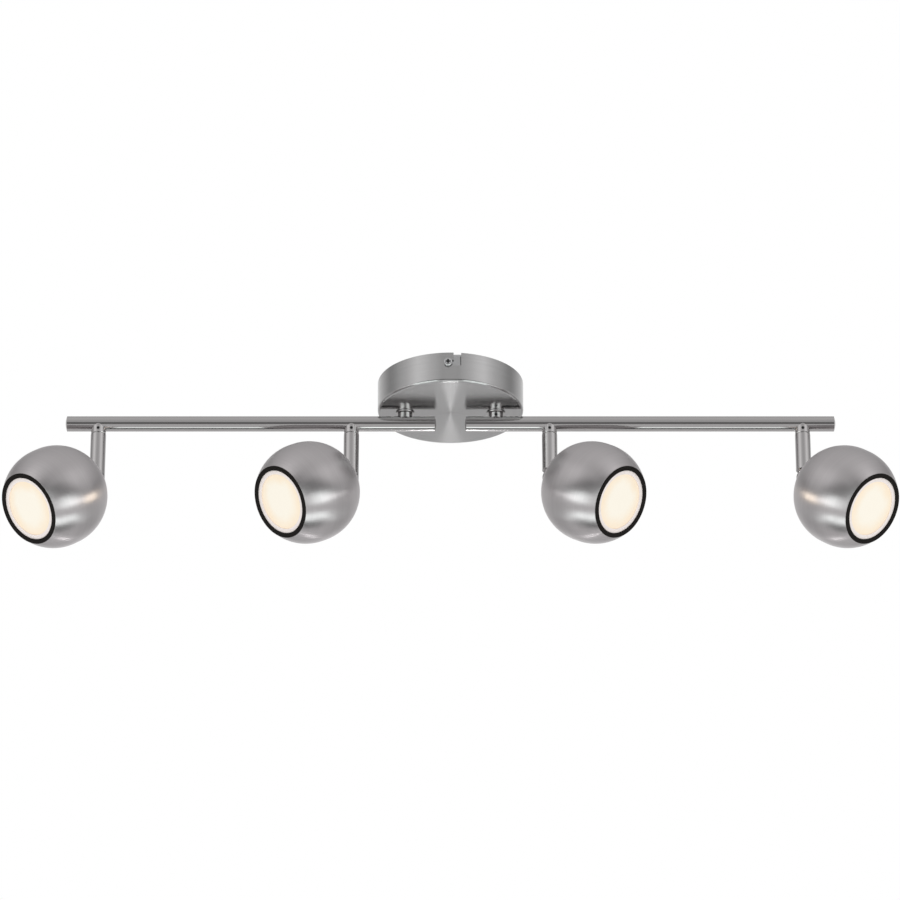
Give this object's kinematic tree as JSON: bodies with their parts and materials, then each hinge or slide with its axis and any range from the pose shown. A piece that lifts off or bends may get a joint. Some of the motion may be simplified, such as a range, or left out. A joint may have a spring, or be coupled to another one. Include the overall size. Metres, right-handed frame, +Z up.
{
  "type": "ceiling spotlight bar",
  "caption": "Ceiling spotlight bar: round canopy, swivelling tube arms and ball-shaped heads that turn and tilt, each with a black-ringed reflector lamp, in satin nickel.",
  "frame": {"origin": "on the ceiling plane, at the centre of the canopy and of the ceiling bracket's top face", "axes": "+Z up into the ceiling, +X along the arms towards the right as seen from the front, -Y towards the viewer"},
  "size_m": [0.689, 0.1224, 0.1471],
  "materials": {
    "satin_nickel": "satin nickel plate, finely brushed in circles",
    "polished_nickel": "semi-bright nickel plate",
    "zinc_steel": "bright zinc plate",
    "dark_steel": "blackened set screw",
    "brass": "plain brass",
    "black_ring": "fine satin black",
    "lamp_plastic": "pale moulded plastic",
    "lamp_glow": "opal diffuser, lit warm white",
    "holder_ceramic": "unglazed white",
    "terminal_plastic": "natural nylon",
    "brown_lead": "smooth insulation",
    "blue_lead": "smooth insulation"
  },
  "bodies": {
    "base": {"mounting_bracket": "zinc_steel", "canopy": "satin_nickel", "canopy_screws": "zinc_steel", "terminal_block": "terminal_plastic", "terminal_screws": "zinc_steel", "earth_screw": "brass", "post_nipples": "zinc_steel", "post_nuts": "zinc_steel", "post_collars": "polished_nickel", "live_leads": "brown_lead", "neutral_leads": "blue_lead"},
    "left_arm": {"left_arm_tube": "polished_nickel", "left_arm_end_caps": "polished_nickel", "left_arm_sleeves": "polished_nickel", "left_arm_grub_screws": "dark_steel"},
    "right_arm": {"right_arm_tube": "polished_nickel", "right_arm_end_caps": "polished_nickel", "right_arm_sleeves": "polished_nickel", "right_arm_grub_screws": "dark_steel"},
    "left_outer_swivel": {"left_outer_stem": "polished_nickel"},
    "left_outer_head": {"left_outer_knuckle": "polished_nickel", "left_outer_pivot_screw": "zinc_steel", "left_outer_shell": "satin_nickel", "left_outer_front_ring": "black_ring", "left_outer_lamp_body": "lamp_plastic", "left_outer_lamp_lens": "lamp_glow", "left_outer_lamp_holder": "holder_ceramic", "left_outer_holder_carrier": "zinc_steel", "left_outer_neck_fixings": "zinc_steel"},
    "left_inner_swivel": {"left_inner_stem": "polished_nickel"},
    "left_inner_head": {"left_inner_knuckle": "polished_nickel", "left_inner_pivot_screw": "zinc_steel", "left_inner_shell": "satin_nickel", "left_inner_front_ring": "black_ring", "left_inner_lamp_body": "lamp_plastic", "left_inner_lamp_lens": "lamp_glow", "left_inner_lamp_holder": "holder_ceramic", "left_inner_holder_carrier": "zinc_steel", "left_inner_neck_fixings": "zinc_steel"},
    "right_inner_swivel": {"right_inner_stem": "polished_nickel"},
    "right_inner_head": {"right_inner_knuckle": "polished_nickel", "right_inner_pivot_screw": "zinc_steel", "right_inner_shell": "satin_nickel", "right_inner_front_ring": "black_ring", "right_inner_lamp_body": "lamp_plastic", "right_inner_lamp_lens": "lamp_glow", "right_inner_lamp_holder": "holder_ceramic", "right_inner_holder_carrier": "zinc_steel", "right_inner_neck_fixings": "zinc_steel"},
    "right_outer_swivel": {"right_outer_stem": "polished_nickel"},
    "right_outer_head": {"right_outer_knuckle": "polished_nickel", "right_outer_pivot_screw": "zinc_steel", "right_outer_shell": "satin_nickel", "right_outer_front_ring": "black_ring", "right_outer_lamp_body": "lamp_plastic", "right_outer_lamp_lens": "lamp_glow", "right_outer_lamp_holder": "holder_ceramic", "right_outer_holder_carrier": "zinc_steel", "right_outer_neck_fixings": "zinc_steel"}
  },
  "joints": [
    {"name": "left_arm_swivel", "type": "hinge", "parent": "base", "child": "left_arm", "pos_m": [-0.0354, 0, -0.03405], "axis": [0, 0, 1], "range_deg": [-90, 90]},
    {"name": "right_arm_swivel", "type": "hinge", "parent": "base", "child": "right_arm", "pos_m": [0.0354, 0, -0.03405], "axis": [0, 0, 1], "range_deg": [-90, 90]},
    {"name": "left_outer_turn", "type": "hinge", "parent": "left_arm", "child": "left_outer_swivel", "pos_m": [-0.274, 0, -0.03405], "axis": [0, 0, 1], "range_deg": [-170, 170]},
    {"name": "left_outer_tilt", "type": "hinge", "parent": "left_outer_swivel", "child": "left_outer_head", "pos_m": [-0.274, 0, -0.08], "axis": [0.6129, -0.7902, 0], "range_deg": [-35.4, 54.6]},
    {"name": "left_inner_turn", "type": "hinge", "parent": "left_arm", "child": "left_inner_swivel", "pos_m": [-0.0771, 0, -0.03405], "axis": [0, 0, -1], "range_deg": [-170, 170]},
    {"name": "left_inner_tilt", "type": "hinge", "parent": "left_inner_swivel", "child": "left_inner_head", "pos_m": [-0.0771, 0, -0.08], "axis": [-0.5779, 0.8161, 0], "range_deg": [-59.8, 30.2]},
    {"name": "right_inner_turn", "type": "hinge", "parent": "right_arm", "child": "right_inner_swivel", "pos_m": [0.0771, 0, -0.03405], "axis": [0, 0, -1], "range_deg": [-170, 170]},
    {"name": "right_inner_tilt", "type": "hinge", "parent": "right_inner_swivel", "child": "right_inner_head", "pos_m": [0.0771, 0, -0.08], "axis": [0.5779, 0.8161, 0], "range_deg": [-30.2, 59.8]},
    {"name": "right_outer_turn", "type": "hinge", "parent": "right_arm", "child": "right_outer_swivel", "pos_m": [0.274, 0, -0.03405], "axis": [0, 0, 1], "range_deg": [-170, 170]},
    {"name": "right_outer_tilt", "type": "hinge", "parent": "right_outer_swivel", "child": "right_outer_head", "pos_m": [0.274, 0, -0.08], "axis": [-0.6129, -0.7902, 0], "range_deg": [-54.6, 35.4]}
  ]
}
